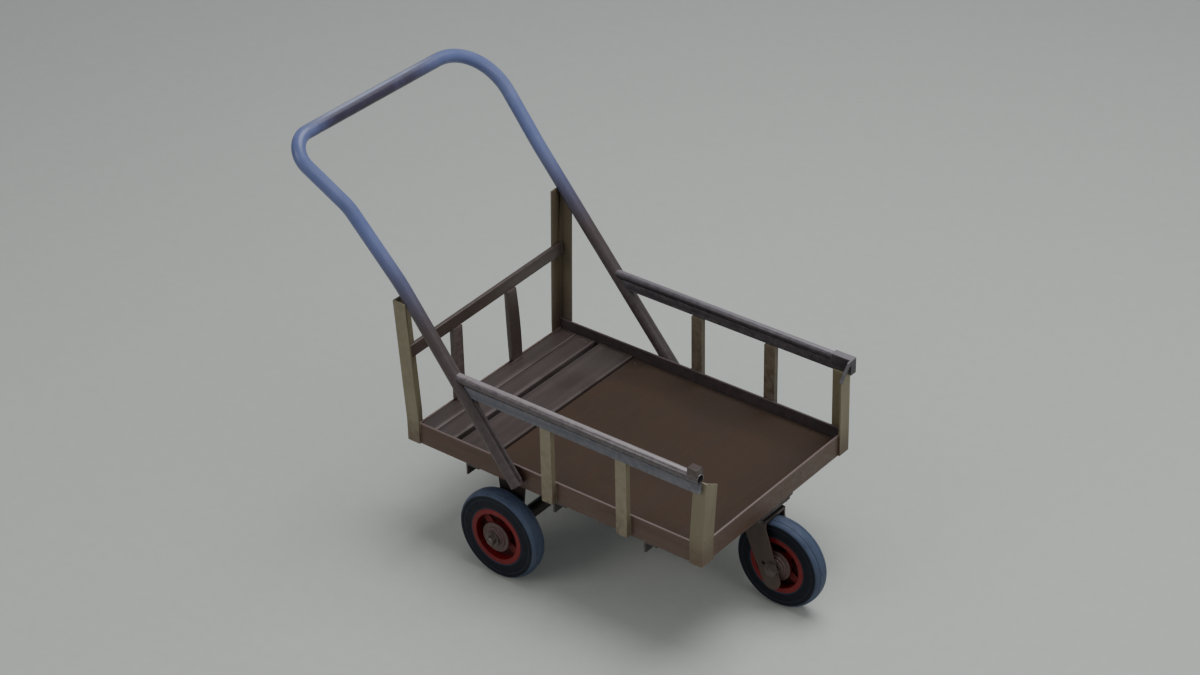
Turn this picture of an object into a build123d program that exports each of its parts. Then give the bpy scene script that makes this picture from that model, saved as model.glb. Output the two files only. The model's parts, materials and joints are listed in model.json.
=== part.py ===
"""Three-wheeled platform hand cart: angle-iron tray, board deck, rails, push handle, swivel castor.

Axes while building: +X from the handle end to the open front end, +Y to the far side, +Z up,
Z = 0 on the ground and Y = 0 on the cart's middle plane. The finished pieces are moved together
so that the origin is the middle of the overall box at ground level.
"""
from math import atan2, cos, radians, sin, tan
import os

from build123d import *

# ---------------------------------------------------------------- driving dimensions, mm
# tray of steel angle
tray_length = 850.0            # over the outer faces of the end members
tray_width = 570.0             # over the outer faces of the side members
tray_bottom = 259.0            # ground to the underside of the tray
member_height = 56.0           # upright leg of the side and front members
member_leg = 40.0              # flat leg that the deck rests on
steel = 5.0                    # thickness of the angle iron
cross_leg = 38.0
cross_height = 31.0
cross_setback = 170.0          # rear end of the tray to the rearmost cross member
cross_pitch = 260.0

# deck
board_thickness = 26.0
panel_thickness = 20.0
board_widths = (50.0, 55.0, 102.0)
board_gaps = (2.0, 14.0, 3.0)  # after each board
deck_side_gap = 2.0
board_round = 4.0
screw_radius = 2.5
screw_head_radius = 4.5

# posts and uprights
post_side_leg = {"rear_near": 37.0, "rear_far": 38.0, "front_near": 35.0, "front_far": 46.0}
post_end_leg = {"rear_near": 50.0, "rear_far": 37.0, "front_near": 44.0, "front_far": 37.0}
rear_post_tops = {"near": 395.0, "far": 420.0}    # above the tray's underside
front_post_tops = {"near": 228.7, "far": 208.0}
front_post_slopes = {"near": 24.0, "far": 3.0}    # the tops fall away inwards by this much
front_post_leans = {"near": 12.0, "far": -1.5}    # the tops stand this far forward
upright_width = 31.0
upright_thickness = 14.0
upright_stations = {"near": (-1.0, 213.0), "far": (-7.0, 205.0)}
rear_upright_near_y = -114.0
rear_upright_far_y = 99.0      # at its foot
rear_upright_swing = -12.0     # its head stands this far to the near side
rear_upright_flare = 2.5       # half of how much wider its foot is
rear_upright_bow = 3.0         # and its middle bows to the far side by this much

# rails
rail_tube_radius = {"near": 12.5, "far": 10.0}
rail_tube_wall = 2.5
rail_bar_height = {"near": 25.0, "far": 23.0}
rail_bar_thickness = 12.0
rail_level = 204.0             # tray underside to the underside of the rails
rail_overhang = {"near": 5.0, "far": 4.0}         # front ends, from the tray's front face
rear_rail_height = 33.0
rear_rail_thickness = 10.0
rear_rail_level = 249.0        # tray underside to the rear rail's mid height
rear_rail_rise = 16.0          # the far end stands this much higher

# push handle, one bent tube in a plane that leans back
handle_radius = 16.85
handle_wall = 3.2
handle_lean = 39.1             # from upright, degrees
handle_foot_x = -142.0         # where the plane passes 88 mm above the tray's underside
handle_foot_z = 88.0
arm_foot = -93.0               # along the arm, from there to its cut end
arm_foot_flare = 2.0           # the arms' cut ends stand this much further off the tray
arm_at_posts = 440.0
arm_spread_at_posts = 6.0      # the arms' centre lines stand this far outside the tray
grip_near = 847.0              # along the arm, to the crossbar at each side
grip_far = 846.0
near_corner_spread = 87.0      # the same for the two unequal upper corners
far_corner_spread = 21.0
near_bend = 52.0
far_bend = 148.0
kink_spread = 21.0             # where the near arm starts to flare outwards
kink_place = 652.0
kink_bend = 130.0
stay_width = 8.0               # strip along the front of the near arm
stay_thickness = 5.0

# wheels, all three alike
wheel_radius = 115.0
tyre_width = 47.0
shoulder = 5.0
rim_radius = 73.0
rim_channel_radius = 64.0
rim_width = 46.0
rim_flange = 4.0
rim_web = 4.0
spoke_width = 20.0
spoke_thickness = 12.0
spoke_count = 4
rim_disc = 3.0                 # thin web between the spokes
spoke_start = 38.0
boss_radius = 30.0
boss_width = 40.0
hub_length = 66.0
hub_radius = 18.0
hub_cap_radii = (38.0, 28.0, 21.0)
hub_cap_steps = (5.0, 3.5, 3.0)

# rear axle
axle_radius = 10.0
axle_x = -142.0
wheel_overhang = 12.0          # a rear wheel's middle plane, outside the tray
axle_tube_radius = 17.0
axle_end = 12.0                # bare axle beyond the outer washer
hanger_thickness = 6.0
hanger_top_width = 84.0
hanger_foot_radius = 26.0
hanger_inset = 3.0             # hanger to the tube's end
washer_radius = 18.0
pin_radius = 2.0

# castor
castor_setback = 40.0          # swivel axis behind the tray's front face
castor_trail = 61.0
leg_width = 48.0
leg_thickness = 5.0
leg_gap = 35.0                 # middle plane to a leg's inner face
leg_foot = (-3.0, -34.0)       # centre of a leg's round end, from the axle
leg_brow = 16.0                # upright part of a leg's front edge
leg_hole = (-25.0, 7.0)        # small hole, from the axle
leg_hole_radius = 5.0
bearer_thickness = 6.0
bearer_width = 140.0
castor_plate_thickness = 6.0
castor_plate_size = (80.0, 124.0)
castor_bolt_radius = 5.0
castor_bolt_head = 5.0
castor_bolt_spread = (56.0, 100.0)
race_radius = 30.0
race_thickness = 4.6
race_gap = 0.8
crown_thickness = 7.0
crown_reach = (34.0, 40.0)     # behind and ahead of the swivel axis
kingpin_radius = 8.0
kingpin_nut = 6.5

# corner fittings on the front ends of the rails
near_cap_size = (26.0, 22.0, 27.0)
near_cap_setback = 2.0
far_cap_length = 52.0
far_cap_rise = 21.0            # above the rail's flat bar
far_cap_skirt = 10.0           # down each side of the flat bar
sheet_steel = 4.0

# clearances
running = 0.05                 # radial, shaft in bush
easy = 0.3                     # between faces that slide or nearly touch
loose_hole = 0.25              # radial, bolt in plate

# ---------------------------------------------------------------- places worked out from them
half_length = tray_length / 2
half_width = tray_width / 2
arm_spacing_at_posts = half_width + arm_spread_at_posts
near_corner = half_width + near_corner_spread
far_corner = half_width + far_corner_spread
rear_wheel_plane = half_width + wheel_overhang
castor_pivot_x = half_length - castor_setback
castor_axle_x = castor_pivot_x + castor_trail
post_face = half_width + steel
rail_y = post_face + easy + rail_bar_thickness / 2
rail_bottom = tray_bottom + rail_level
rail_bar_top = {side: rail_bottom + height for side, height in rail_bar_height.items()}
rail_z = {side: rail_bar_top[side] + radius for side, radius in rail_tube_radius.items()}
rail_front = {side: half_length + reach for side, reach in rail_overhang.items()}
deck_floor = tray_bottom + steel
board_top = deck_floor + board_thickness
panel_top = deck_floor + panel_thickness
lean = radians(handle_lean)
handle_plane = Plane(
    origin=(handle_foot_x, 0, tray_bottom + handle_foot_z),
    x_dir=(0, 1, 0),
    z_dir=(cos(lean), 0, sin(lean)),
)
arm_foot_y = half_width + handle_radius + easy + arm_foot_flare
bore_radius = axle_radius + running
SIDES = {"near": -1, "far": 1}

finished = {}


def keep(name, shape):
    """Label a finished piece and put it on the list to be written."""
    shape.label = name
    finished[name] = shape


def arm_point(y, along):
    """A point of the handle's plane: y across the cart, along up the arm."""
    return handle_plane.from_local_coords((y, along, 0))


# ---------------------------------------------------------------- tray
def side_member(side):
    """Full-length angle, upright leg outside and flat leg inwards at the bottom."""
    with BuildPart() as member:
        with BuildSketch(Plane.YZ.offset(-half_length)):
            with Locations((side * (half_width - steel / 2), tray_bottom + member_height / 2)):
                Rectangle(steel, member_height)
            with Locations((side * (half_width - member_leg / 2), tray_bottom + steel / 2)):
                Rectangle(member_leg, steel)
        extrude(amount=tray_length)
        toe = member.edges().filter_by(Axis.X).group_by(Axis.Z)[-1]
        fillet(toe, 1.5)
    return member.part


def end_member(end, height):
    """Angle between the side members, its flat leg trimmed to pass between theirs."""
    inner = half_width - steel
    with BuildPart() as member:
        with BuildSketch(Plane.XZ.offset(-inner)):
            with Locations((end * (half_length - steel / 2), tray_bottom + (height + steel) / 2)):
                Rectangle(steel, height - steel)
        extrude(amount=2 * inner)
        with BuildSketch(Plane.XZ.offset(-(half_width - member_leg))):
            with Locations((end * (half_length - member_leg / 2), tray_bottom + steel / 2)):
                Rectangle(member_leg, steel)
        extrude(amount=tray_width - 2 * member_leg)
        toe = member.edges().filter_by(Axis.Y).group_by(Axis.Z)[-1]
        fillet(toe, 1.5)
    return member.part


def cross_member(rear_edge):
    """Angle under the tray from side to side, upright leg hanging at its rear edge."""
    with BuildPart() as member:
        with BuildSketch(Plane.XZ.offset(-half_width)):
            with Locations((rear_edge + cross_leg / 2, tray_bottom - steel / 2)):
                Rectangle(cross_leg, steel)
            with Locations((rear_edge + steel / 2, tray_bottom - cross_height / 2)):
                Rectangle(steel, cross_height)
        extrude(amount=tray_width)
    return member.part


for side_name, side in SIDES.items():
    keep(f"side_member_{side_name}", side_member(side))
castor_bolt_points = [
    (castor_pivot_x + sx * castor_bolt_spread[0] / 2, sy * castor_bolt_spread[1] / 2)
    for sx in (-1, 1)
    for sy in (-1, 1)
]
with BuildPart() as front_member:
    add(end_member(1, member_height))
    with BuildSketch(Plane.XY.offset(tray_bottom)):
        with Locations(*castor_bolt_points):
            Circle(castor_bolt_radius + loose_hole)
    extrude(amount=steel, mode=Mode.SUBTRACT)
keep("front_member", front_member.part)
keep("rear_member", end_member(-1, steel + board_thickness))
cross_edges = [cross_setback - half_length + i * cross_pitch for i in range(3)]
for number, rear_edge in enumerate(cross_edges, 1):
    keep(f"cross_member_{number}", cross_member(rear_edge))


# ---------------------------------------------------------------- deck
def screw_rows(x_low, x_high):
    """Screw places near both ends of a deck piece, over the side members' flat legs."""
    y = half_width - member_leg * 0.55
    inset = 16.0
    return [(x, s * y) for s in (-1, 1) for x in (x_low + inset, x_high - inset)]


def deck_piece(x_low, x_high, thickness, corner):
    """One board or panel lying on the flat legs, drilled for its screws."""
    width = tray_width - 2 * (steel + deck_side_gap)
    with BuildPart() as piece:
        with BuildSketch(Plane.XY.offset(deck_floor)):
            with Locations(((x_low + x_high) / 2, 0)):
                Rectangle(x_high - x_low, width)
        extrude(amount=thickness)
        upper = piece.edges().group_by(Axis.Z)[-1]
        fillet(upper.filter_by(Axis.Y), corner)
        top = deck_floor + thickness
        with BuildSketch(Plane.XY.offset(deck_floor)):
            with Locations(*screw_rows(x_low, x_high)):
                Circle(screw_radius)
        extrude(amount=thickness, mode=Mode.SUBTRACT)
        with BuildSketch(Plane.XY.offset(top - 3.0)):
            with Locations(*screw_rows(x_low, x_high)):
                Circle(screw_head_radius)
        extrude(amount=3.0, mode=Mode.SUBTRACT)
    return piece.part


screw_places = []
board_rear = -half_length + steel + 1.0
for number, (width, gap) in enumerate(zip(board_widths, board_gaps), 1):
    board_front = board_rear + width
    keep(f"deck_board_{number}", deck_piece(board_rear, board_front, board_thickness, board_round))
    screw_places += [(x, y, board_top) for x, y in screw_rows(board_rear, board_front)]
    board_rear = board_front + gap
panel_front = half_length - steel - deck_side_gap
keep("deck_panel", deck_piece(board_rear, panel_front, panel_thickness, 1.0))
screw_places += [(x, y, panel_top) for x, y in screw_rows(board_rear, panel_front)]

with BuildPart() as deck_screws:
    for x, y, top in screw_places:
        with BuildSketch(Plane.XY.offset(top - 1.0)):
            with Locations((x, y)):
                Circle(screw_head_radius)
        extrude(amount=-2.0)
        with BuildSketch(Plane.XY.offset(top - 3.0)):
            with Locations((x, y)):
                Circle(screw_radius)
        extrude(amount=-(top - 3.0 - deck_floor))
keep("deck_screws", deck_screws.part)


# ---------------------------------------------------------------- push handle
def tube_along(path, radius, wall):
    """Round tube with open ends along a line that is built already."""
    start = Plane(origin=path @ 0, z_dir=path % 0)
    with BuildPart() as tube:
        with BuildSketch(start):
            Circle(radius)
            Circle(radius - wall, mode=Mode.SUBTRACT)
        sweep(path=path)
    return tube.part


# half spacing and place along the arm where each side's straight lower run ends
arm_heads = {-1: (arm_spacing_at_posts, arm_at_posts), 1: (arm_spacing_at_posts + 6, arm_at_posts + 110)}

# The arms close in a little from foot to posts; the upper corners are unequal, the near one
# sprung outwards in a tight bend and the far one a wide bend.
handle_turns = [
    ((-arm_foot_y, arm_foot), None),
    ((-arm_heads[-1][0], arm_heads[-1][1]), 500.0),
    ((-half_width - kink_spread, kink_place), kink_bend),
    ((-near_corner, grip_near), near_bend),
    ((far_corner, grip_far), far_bend),
    ((arm_heads[1][0], arm_heads[1][1]), 700.0),
    ((arm_foot_y, arm_foot), None),
]
with BuildPart() as handle:
    with BuildLine(handle_plane) as handle_line:
        Polyline(*[point for point, _ in handle_turns])
        for (y, along), bend in handle_turns[1:-1]:
            corner_at = arm_point(y, along)
            corner = handle_line.vertices().sort_by_distance(corner_at)[0]
            fillet(corner, bend)
    with BuildSketch(Plane(origin=handle_line.line @ 0, z_dir=handle_line.line % 0)):
        Circle(handle_radius)
        Circle(handle_radius - handle_wall, mode=Mode.SUBTRACT)
    sweep(path=handle_line.wires()[0])
keep("push_handle", handle.part)


def arm_core(side, clearance):
    """Solid bar over a straight lower arm, to cut a neighbour to its shape."""
    spacing, along = arm_heads[side]
    slope = (spacing - arm_foot_y) / (along - arm_foot)
    foot = arm_point(side * (arm_foot_y - 30 * slope), arm_foot - 30)
    head = arm_point(side * (spacing + 60 * slope), along + 60)
    with BuildPart(mode=Mode.PRIVATE) as core:
        with BuildSketch(Plane(origin=foot, z_dir=head - foot)):
            Circle(handle_radius + clearance)
        extrude(amount=(head - foot).length)
    return core.part


# ---------------------------------------------------------------- corner posts
def post_profile(end, side, side_leg, end_leg):
    """Angle that wraps a corner of the tray from outside."""
    with Locations((end * (half_length + steel - side_leg / 2), side * (half_width + steel / 2))):
        Rectangle(side_leg, steel)
    with Locations((end * (half_length + steel / 2), side * (half_width + steel - end_leg / 2))):
        Rectangle(steel, end_leg)


# the near post leans out above the tray so that the handle's arm passes inside it
rear_post_leans = {"near": arm_spacing_at_posts + handle_radius + easy - half_width, "far": 12.0}


def rear_post(side_name):
    """Tall post, cut to the handle's arm where the two cross."""
    side = SIDES[side_name]
    side_leg = post_side_leg[f"rear_{side_name}"]
    end_leg = post_end_leg[f"rear_{side_name}"]
    top = tray_bottom + rear_post_tops[side_name]
    knee = tray_bottom + member_height
    lean_out = rear_post_leans[side_name]
    with BuildPart() as post:
        with BuildSketch(Plane.XY.offset(tray_bottom)):
            post_profile(-1, side, side_leg, end_leg)
        extrude(amount=member_height)
        with BuildSketch(Plane.XY.offset(knee)):
            post_profile(-1, side, side_leg, end_leg)
        with BuildSketch(Plane.XY.offset(top)):
            with Locations((0, side * lean_out)):
                post_profile(-1, side, side_leg, end_leg)
        loft()
        add(arm_core(side, easy), mode=Mode.SUBTRACT)
    return post.part.solids().sort_by(SortBy.VOLUME)[-1]


def front_post(side_name):
    """Short post beside the front end of the rail, its top cut on a slope."""
    side = SIDES[side_name]
    side_leg = post_side_leg[f"front_{side_name}"]
    end_leg = post_end_leg[f"front_{side_name}"]
    top = tray_bottom + front_post_tops[side_name]
    knee = tray_bottom + member_height
    slope = front_post_slopes[side_name]
    forward = front_post_leans[side_name]
    inner_edge = post_face - end_leg
    with BuildPart() as post:
        with BuildSketch(Plane.XY.offset(tray_bottom)):
            post_profile(1, side, side_leg, end_leg)
        extrude(amount=member_height)
        with BuildSketch(Plane.XY.offset(knee)):
            post_profile(1, side, side_leg, end_leg)
        with BuildSketch(Plane.XY.offset(top)):
            with Locations((forward, 0)):
                post_profile(1, side, side_leg, end_leg)
        loft()
        with BuildSketch(Plane.YZ.offset(half_length - steel)):
            with BuildLine():
                Polyline(
                    (side * half_width, top + 1),
                    (side * (inner_edge - 1), top + 1),
                    (side * (inner_edge - 1), top - slope),
                    (side * half_width, top),
                    close=True,
                )
            make_face()
        extrude(amount=steel * 3 + forward, mode=Mode.SUBTRACT)
    return post.part


for side_name in SIDES:
    keep(f"corner_post_rear_{side_name}", rear_post(side_name))
    keep(f"corner_post_front_{side_name}", front_post(side_name))


# ---------------------------------------------------------------- uprights
def side_upright(x, side):
    """Flat bar outside the side member, from its underside up to the rail's bar."""
    with BuildPart() as upright:
        with BuildSketch(Plane.XY.offset(tray_bottom)):
            with Locations((x, side * (half_width + upright_thickness / 2))):
                Rectangle(upright_width, upright_thickness)
        extrude(amount=rail_level)
    return upright.part


for side_name, side in SIDES.items():
    for number, x in enumerate(upright_stations[side_name], 1):
        keep(f"side_upright_{side_name}_{number}", side_upright(x, side))

rear_rail_slope = atan2(rear_rail_rise, tray_width)
rear_rail_mid = tray_bottom + rear_rail_level
rear_rail_x = -half_length + rear_rail_thickness / 2


def rear_rail_underside(y):
    """Height of the sloping rear rail's lower edge at y."""
    return rear_rail_mid + y * rear_rail_rise / tray_width - rear_rail_height / 2 / cos(rear_rail_slope)


def rear_upright(y, swing=0.0, flare=0.0, bow=0.0):
    """Flat bar from the rear board up to the sloping rear rail, straight or a little crooked."""
    half = upright_width / 2
    low = board_top
    mid = (low + rear_rail_mid) / 2
    with BuildPart() as upright:
        with BuildSketch(Plane.YZ.offset(-half_length)):
            with BuildLine():
                edges = []
                for sign in (-1, 1):
                    foot = y + sign * (half + flare)
                    head = y + swing + sign * half
                    middle = (foot + head) / 2 + (bow if sign > 0 else -bow / 3)
                    ends = ((foot, low), (head, rear_rail_underside(head)))
                    edges.append(ThreePointArc(ends[0], (middle, mid), ends[1]) if bow else Line(*ends))
                Line(edges[0] @ 0, edges[1] @ 0)
                Line(edges[0] @ 1, edges[1] @ 1)
            make_face()
        extrude(amount=upright_thickness)
    return upright.part


keep("rear_upright_near", rear_upright(rear_upright_near_y))
crooked = (rear_upright_swing, rear_upright_flare, rear_upright_bow)
keep("rear_upright_far", rear_upright(rear_upright_far_y, *crooked))


# ---------------------------------------------------------------- rails
rail_rear = handle_foot_x - 130.0


def rail_tube(side_name):
    """Round top rail, its rear end coped to the handle's arm; a cap takes the far one's front."""
    side, radius = SIDES[side_name], rail_tube_radius[side_name]
    front = rail_front[side_name] - (far_cap_length + easy if side_name == "far" else 0)
    with BuildPart() as rail:
        with BuildSketch(Plane.YZ.offset(rail_rear)):
            with Locations((side * rail_y, rail_z[side_name])):
                Circle(radius)
                Circle(radius - rail_tube_wall, mode=Mode.SUBTRACT)
        extrude(amount=front - rail_rear)
        add(arm_core(side, easy), mode=Mode.SUBTRACT)
    return rail.part.solids().sort_by(Axis.X)[-1]


def rail_bar(side_name):
    """Flat bar on edge under the round rail, also coped to the arm."""
    side, height = SIDES[side_name], rail_bar_height[side_name]
    with BuildPart() as rail:
        with BuildSketch(Plane.YZ.offset(rail_rear)):
            with Locations((side * rail_y, rail_bottom + height / 2)):
                Rectangle(rail_bar_thickness, height)
        extrude(amount=rail_front[side_name] - rail_rear)
        add(arm_core(side, easy), mode=Mode.SUBTRACT)
    return rail.part.solids().sort_by(Axis.X)[-1]


for side_name in SIDES:
    keep(f"side_rail_tube_{side_name}", rail_tube(side_name))
    keep(f"side_rail_bar_{side_name}", rail_bar(side_name))

rail_plane = Plane(
    origin=(rear_rail_x, 0, rear_rail_mid),
    x_dir=(0, cos(rear_rail_slope), sin(rear_rail_slope)),
    z_dir=(1, 0, 0),
)
with BuildPart() as rear_rail:
    with BuildSketch(rail_plane):
        Rectangle(2 * (half_width - easy) / cos(rear_rail_slope), rear_rail_height)
    extrude(amount=rear_rail_thickness / 2, both=True)
    fillet(rear_rail.edges().filter_by(Axis.X, reverse=True).group_by(Axis.Z)[-1], 1.5)
keep("rear_rail", rear_rail.part)

# narrow strip welded along the front of the near arm, from its foot up to the rail
with BuildPart() as arm_stay:
    spacing, place = arm_heads[-1]
    slope = (spacing - arm_foot_y) / (place - arm_foot)
    strip_top = (rail_level - handle_foot_z) / cos(lean) - handle_radius - stay_width
    foot = arm_point(-(arm_foot_y + 12 * slope), arm_foot + 12)
    head = arm_point(-(arm_foot_y + (strip_top - arm_foot) * slope), strip_top)
    strip_plane = Plane(origin=foot, x_dir=handle_plane.z_dir, z_dir=head - foot)
    with BuildSketch(strip_plane):
        with Locations((handle_radius + stay_width / 2 - 0.4, 0)):
            Rectangle(stay_width, stay_thickness)
        Circle(handle_radius, mode=Mode.SUBTRACT)
    extrude(amount=(head - foot).length)
keep("arm_stay_near", arm_stay.part)

# ---------------------------------------------------------------- corner fittings
with BuildPart() as near_cap:
    cap_length, cap_width, cap_height = near_cap_size
    with BuildSketch(Plane.YZ.offset(rail_front["near"] - near_cap_setback)):
        with Locations((-rail_y, rail_z["near"] + cap_height / 2)):
            Rectangle(cap_width, cap_height)
        with Locations((-rail_y, rail_z["near"])):
            Circle(rail_tube_radius["near"], mode=Mode.SUBTRACT)
    extrude(amount=-cap_length)
    fillet(near_cap.edges().group_by(Axis.Z)[-1], 2.0)
keep("corner_cap_near", near_cap.part)

cap_low = rail_bar_top["far"] - far_cap_skirt
cap_high = rail_bar_top["far"] + far_cap_rise
cap_in = rail_bar_thickness / 2
cap_out = cap_in + sheet_steel
with BuildPart() as far_cap:
    with BuildSketch(Plane.YZ.offset(rail_front["far"] - far_cap_length)):
        with BuildLine():
            Polyline(
                (rail_y - cap_out, cap_low),
                (rail_y - cap_out, cap_high),
                (rail_y + cap_out, cap_high),
                (rail_y + cap_out, cap_low),
                (rail_y + cap_in, cap_low),
                (rail_y + cap_in, cap_high - sheet_steel),
                (rail_y - cap_in, cap_high - sheet_steel),
                (rail_y - cap_in, cap_low),
                close=True,
            )
        make_face()
    extrude(amount=far_cap_length)
    # closed front face and the bent strip that hangs from it
    with BuildSketch(Plane.YZ.offset(rail_front["far"])):
        with Locations((rail_y, (cap_low + cap_high) / 2 - 5.0)):
            Rectangle(2 * cap_out, cap_high - cap_low + 10.0)
        with BuildLine():
            Polyline(
                (rail_y - cap_out, cap_high),
                (half_width - 10.0, cap_high - 1.0),
                (half_width - 43.0, cap_high - 38.0),
                (half_width - 33.0, cap_high - 48.0),
                (half_width - 6.0, cap_high - 15.0),
                (rail_y - cap_out, cap_high - 14.0),
                close=True,
            )
        make_face()
    extrude(amount=sheet_steel)
keep("corner_cap_far", far_cap.part)


# ---------------------------------------------------------------- turned parts
def across(x, z, y):
    """Plane square to an axle at y, facing the far side."""
    return Plane(origin=(x, y, z), x_dir=(1, 0, 0), z_dir=(0, 1, 0))


def ring(x, z, y_low, y_high, outer, inner=0.0):
    """Disc or ring around a line that runs across the cart."""
    with BuildPart() as disc:
        with BuildSketch(across(x, z, y_low)):
            Circle(outer)
            if inner:
                Circle(inner, mode=Mode.SUBTRACT)
        extrude(amount=y_high - y_low)
    return disc.part


def hex_nut(x, z, y_low, y_high, half_flat, bore):
    """Hexagon nut around a line that runs across the cart."""
    with BuildPart() as nut:
        with BuildSketch(across(x, z, y_low)):
            RegularPolygon(half_flat, 6, major_radius=False)
            Circle(bore, mode=Mode.SUBTRACT)
        extrude(amount=y_high - y_low)
    return nut.part


# ---------------------------------------------------------------- wheels
def tyre(x, y, z):
    """Solid tyre keyed into the rim's channel."""
    seat = rim_width / 2 - rim_flange
    half = tyre_width / 2
    with BuildPart() as tread:
        with BuildSketch(Plane(origin=(x, y, z), x_dir=(0, 1, 0), z_dir=(1, 0, 0))):
            with BuildLine():
                Polyline(
                    (-seat, rim_channel_radius),
                    (seat, rim_channel_radius),
                    (seat, rim_radius),
                    (half - 3.0, rim_radius),
                    (half, rim_radius + 6.0),
                    (half, wheel_radius - shoulder),
                )
                ThreePointArc(
                    (half, wheel_radius - shoulder),
                    (0, wheel_radius),
                    (-half, wheel_radius - shoulder),
                )
                Polyline(
                    (-half, wheel_radius - shoulder),
                    (-half, rim_radius + 6.0),
                    (3.0 - half, rim_radius),
                    (-seat, rim_radius),
                    (-seat, rim_channel_radius),
                )
            make_face()
        revolve(axis=Axis((x, y, z), (0, 1, 0)))
    return tread.part


def rim(x, y, z):
    """Cast rim: channel with two flanges, a thin web, spokes and a central boss."""
    inner = rim_channel_radius - rim_web
    with BuildPart() as casting:
        with BuildSketch(across(x, z, y - rim_width / 2)):
            Circle(rim_channel_radius)
            Circle(inner, mode=Mode.SUBTRACT)
        extrude(amount=rim_width)
        for end in (-1, 1):
            with BuildSketch(across(x, z, y + end * rim_width / 2)):
                Circle(rim_radius)
                Circle(inner, mode=Mode.SUBTRACT)
            extrude(amount=-end * rim_flange)
        with BuildSketch(across(x, z, y - spoke_thickness / 2)):
            with PolarLocations(0, spoke_count, start_angle=spoke_start):
                with Locations((inner / 2, 0)):
                    Rectangle(inner + rim_web / 2, spoke_width)
        extrude(amount=spoke_thickness)
        with BuildSketch(across(x, z, y - rim_disc / 2)):
            Circle(inner + rim_web / 2)
        extrude(amount=rim_disc)
        with BuildSketch(across(x, z, y - boss_width / 2)):
            Circle(boss_radius)
        extrude(amount=boss_width)
        with BuildSketch(across(x, z, y - boss_width / 2)):
            Circle(hub_radius)
        extrude(amount=boss_width, mode=Mode.SUBTRACT)
    return casting.part


def hub_caps(x, y, z):
    """Stepped rings that close both sides of the hub."""
    with BuildPart() as caps:
        for side in SIDES.values():
            start = boss_width / 2
            for radius, step in zip(hub_cap_radii, hub_cap_steps):
                with BuildSketch(across(x, z, y + side * start)):
                    Circle(radius)
                    Circle(hub_radius, mode=Mode.SUBTRACT)
                extrude(amount=side * step)
                start += step
    return caps.part


def wheel(name, x, y, z):
    """One complete wheel, each piece kept under the wheel's own name."""
    keep(f"{name}_tyre", tyre(x, y, z))
    keep(f"{name}_rim", rim(x, y, z))
    keep(f"{name}_hub_caps", hub_caps(x, y, z))
    low, high = y - hub_length / 2, y + hub_length / 2
    keep(f"{name}_hub_bush", ring(x, z, low, high, hub_radius, bore_radius))


axle_z = wheel_radius
for side_name, side in SIDES.items():
    wheel(f"rear_wheel_{side_name}", axle_x, side * rear_wheel_plane, axle_z)
wheel("castor_wheel", castor_axle_x, 0, axle_z)

# ---------------------------------------------------------------- rear axle
hub_inner_y = rear_wheel_plane - hub_length / 2
hub_outer_y = rear_wheel_plane + hub_length / 2
axle_tube_end = hub_inner_y - easy - 3.0
washer_outer = hub_outer_y + easy + 3.0
axle_half = washer_outer + axle_end
pin_y = washer_outer + pin_radius + easy
with BuildPart() as rear_axle:
    add(ring(axle_x, axle_z, -axle_half, axle_half, axle_radius))
    chamfer(rear_axle.edges().filter_by(GeomType.CIRCLE), 2.0)
    with BuildSketch(Plane.XY.offset(axle_z)):
        with Locations((axle_x, -pin_y), (axle_x, pin_y)):
            Circle(pin_radius)
    extrude(amount=axle_radius + 1, both=True, mode=Mode.SUBTRACT)
keep("rear_axle_shaft", rear_axle.part)
keep("rear_axle_tube", ring(axle_x, axle_z, -axle_tube_end, axle_tube_end, axle_tube_radius, axle_radius))


def axle_hanger(side):
    """Plate from the side member's underside down to the axle tube."""
    outer = side * (axle_tube_end - hanger_inset)
    rear_top = (axle_x - hanger_top_width / 2, tray_bottom)
    front_top = (axle_x + hanger_top_width / 2, tray_bottom)
    with BuildPart() as hanger:
        with BuildSketch(Plane(origin=(0, outer, 0), x_dir=(1, 0, 0), z_dir=(0, -side, 0))):
            flip = 1 if side > 0 else -1
            with BuildLine():
                Polyline(
                    (rear_top[0], flip * rear_top[1]),
                    (front_top[0], flip * front_top[1]),
                    (axle_x + hanger_foot_radius, flip * axle_z),
                    (axle_x - hanger_foot_radius, flip * axle_z),
                    close=True,
                )
            make_face()
            with Locations((axle_x, flip * axle_z)):
                Circle(hanger_foot_radius)
                Circle(axle_tube_radius, mode=Mode.SUBTRACT)
        extrude(amount=hanger_thickness)
    return hanger.part


for side_name, side in SIDES.items():
    keep(f"axle_hanger_{side_name}", axle_hanger(side))

with BuildPart() as washers:
    for side in SIDES.values():
        inner = sorted((side * axle_tube_end, side * (hub_inner_y - easy)))
        outer = sorted((side * (hub_outer_y + easy), side * washer_outer))
        add(ring(axle_x, axle_z, *inner, washer_radius, axle_radius))
        add(ring(axle_x, axle_z, *outer, washer_radius, axle_radius))
keep("rear_axle_washers", washers.part)

with BuildPart() as split_pins:
    with BuildSketch(Plane.XY.offset(axle_z)):
        with Locations((axle_x, -pin_y), (axle_x, pin_y)):
            Circle(pin_radius)
    extrude(amount=axle_radius + 6.0, both=True)
keep("split_pins", split_pins.part)

# ---------------------------------------------------------------- castor mounting
bearer_bottom = tray_bottom - bearer_thickness
plate_bottom = bearer_bottom - castor_plate_thickness
bearer_rear = cross_edges[2] + cross_leg
with BuildPart() as castor_bearer:
    with BuildSketch(Plane.XY.offset(bearer_bottom)):
        with Locations(((bearer_rear + half_length) / 2, 0)):
            Rectangle(half_length - bearer_rear, bearer_width)
        with Locations(*castor_bolt_points):
            Circle(castor_bolt_radius, mode=Mode.SUBTRACT)
    extrude(amount=bearer_thickness)
keep("castor_bearer", castor_bearer.part)

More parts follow.
